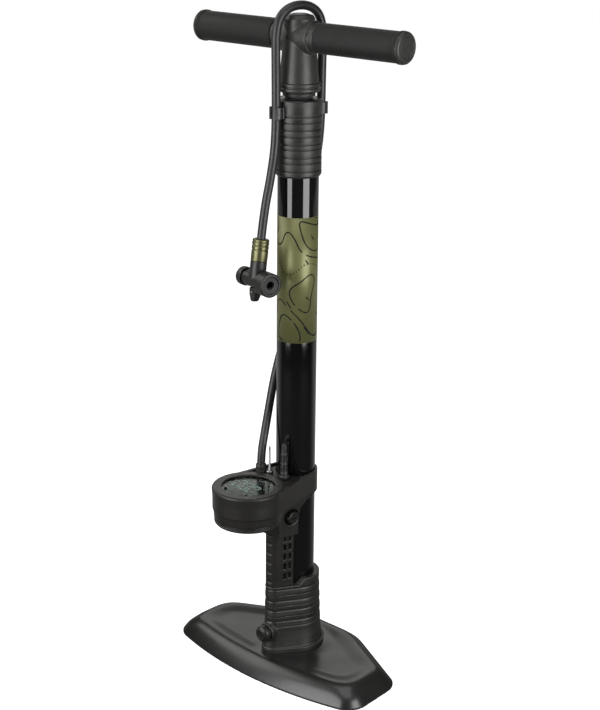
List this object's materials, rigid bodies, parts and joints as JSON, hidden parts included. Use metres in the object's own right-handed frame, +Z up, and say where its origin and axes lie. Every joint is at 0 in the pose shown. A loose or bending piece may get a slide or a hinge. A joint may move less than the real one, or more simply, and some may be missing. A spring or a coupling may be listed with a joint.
{
  "type": "floor bicycle pump",
  "caption": "Upright hand tyre pump: steel foot plate, tube barrel, T-handle, top-reading gauge head and a hose with a two-sided valve head looped over the handle.",
  "frame": {"origin": "on the floor, on the axis of the pump barrel", "axes": "+Z up along the barrel; the gauge is on the -Y side; the foot plate is widest along X"},
  "size_m": [0.2512, 0.17, 0.6812],
  "materials": {
    "steel_black": "satin black powder coat",
    "barrel_black": "gloss black",
    "nylon_black": "moulded, fine texture",
    "hub_black": "satin",
    "grip_rubber": "matte",
    "hose_rubber": "satin",
    "edge_rubber": "matte",
    "seal_rubber": "matte",
    "steel": "bright",
    "chrome": "polished",
    "brass": "turned",
    "olive_alu": "anodised olive",
    "bush_plastic": "self-lubricating",
    "lens": "clear",
    "lcd": "dark display",
    "board": "circuit board"
  },
  "bodies": {
    "stand": {"base_plate": "steel_black", "base_edge_trim": "edge_rubber", "base_bolts": "steel", "foot_sleeve": "nylon_black", "check_valve_cap": "nylon_black", "check_valve_spring": "steel", "barrel": "barrel_black", "barrel_foot_plug": "nylon_black", "barrel_foot_oring": "seal_rubber", "upper_cap": "nylon_black", "rod_bush": "bush_plastic", "rod_wiper": "seal_rubber", "air_column": "nylon_black", "gauge_housing": "nylon_black", "gauge_bottom_cover": "nylon_black", "gauge_cover_screws": "steel", "battery_cover": "nylon_black", "coin_cell": "steel", "gauge_board": "board", "pressure_sensor": "steel", "lcd_panel": "lcd", "gauge_lens": "lens", "gauge_bezel": "nylon_black", "clamp_bolt": "nylon_black", "clamp_nut": "steel", "hose_nipple": "brass", "hose_supply": "hose_rubber", "hose_loop": "hose_rubber", "hose_drop": "hose_rubber", "hose_ferrule": "olive_alu", "head_body": "nylon_black", "presta_gasket": "seal_rubber", "presta_cap": "nylon_black", "schrader_gasket": "seal_rubber", "schrader_cap": "nylon_black", "lever_pin": "steel"},
    "piston": {"piston_head": "bush_plastic", "piston_seal": "seal_rubber"},
    "handle": {"piston_rod": "chrome", "piston_nut": "steel", "handle_hub": "hub_black", "handle_core": "steel", "grip_left": "grip_rubber", "grip_right": "grip_rubber", "grip_plug_left": "hub_black", "grip_plug_right": "hub_black", "hub_bumper": "hub_black"},
    "ball_needle": {"ball_needle": "chrome"},
    "bladder_nozzle": {"bladder_nozzle": "nylon_black"},
    "mode_button": {"mode_button": "seal_rubber"},
    "unit_button": {"unit_button": "seal_rubber"},
    "check_ball": {"check_valve_ball": "steel"},
    "thumb_lever": {"thumb_lever": "nylon_black"}
  },
  "joints": [
    {"name": "plunger_slide", "type": "slide", "parent": "stand", "child": "piston", "axis": [0, 0, 1], "range_m": [0, 0.45], "deforming": ["hose_loop"]},
    {"name": "handle_turn", "type": "hinge", "parent": "piston", "child": "handle", "pos_m": [0, 0, 0.6], "axis": [0, 0, 1], "range_deg": [-50, 35]},
    {"name": "needle_lift", "type": "slide", "parent": "stand", "child": "ball_needle", "axis": [0, 0, 1], "range_m": [0, 0.03]},
    {"name": "nozzle_lift", "type": "slide", "parent": "stand", "child": "bladder_nozzle", "axis": [0, 0, 1], "range_m": [0, 0.03]},
    {"name": "mode_press", "type": "slide", "parent": "stand", "child": "mode_button", "axis": [0, 0, -1], "range_m": [0, 0.0006], "stiffness_N_per_m": 300},
    {"name": "unit_press", "type": "slide", "parent": "stand", "child": "unit_button", "axis": [0, 0, -1], "range_m": [0, 0.0006], "stiffness_N_per_m": 300},
    {"name": "check_ball_lift", "type": "slide", "parent": "stand", "child": "check_ball", "axis": [0, -1, 0], "range_m": [0, 0.0015], "stiffness_N_per_m": 120, "springref_m": -0.002, "deforming": ["check_valve_spring"]},
    {"name": "lever_flip", "type": "hinge", "parent": "stand", "child": "thumb_lever", "pos_m": [-0.00823, -0.05044, 0.40899], "axis": [0.2159, 0.9682, -0.1264], "range_deg": [0, 80]}
  ]
}
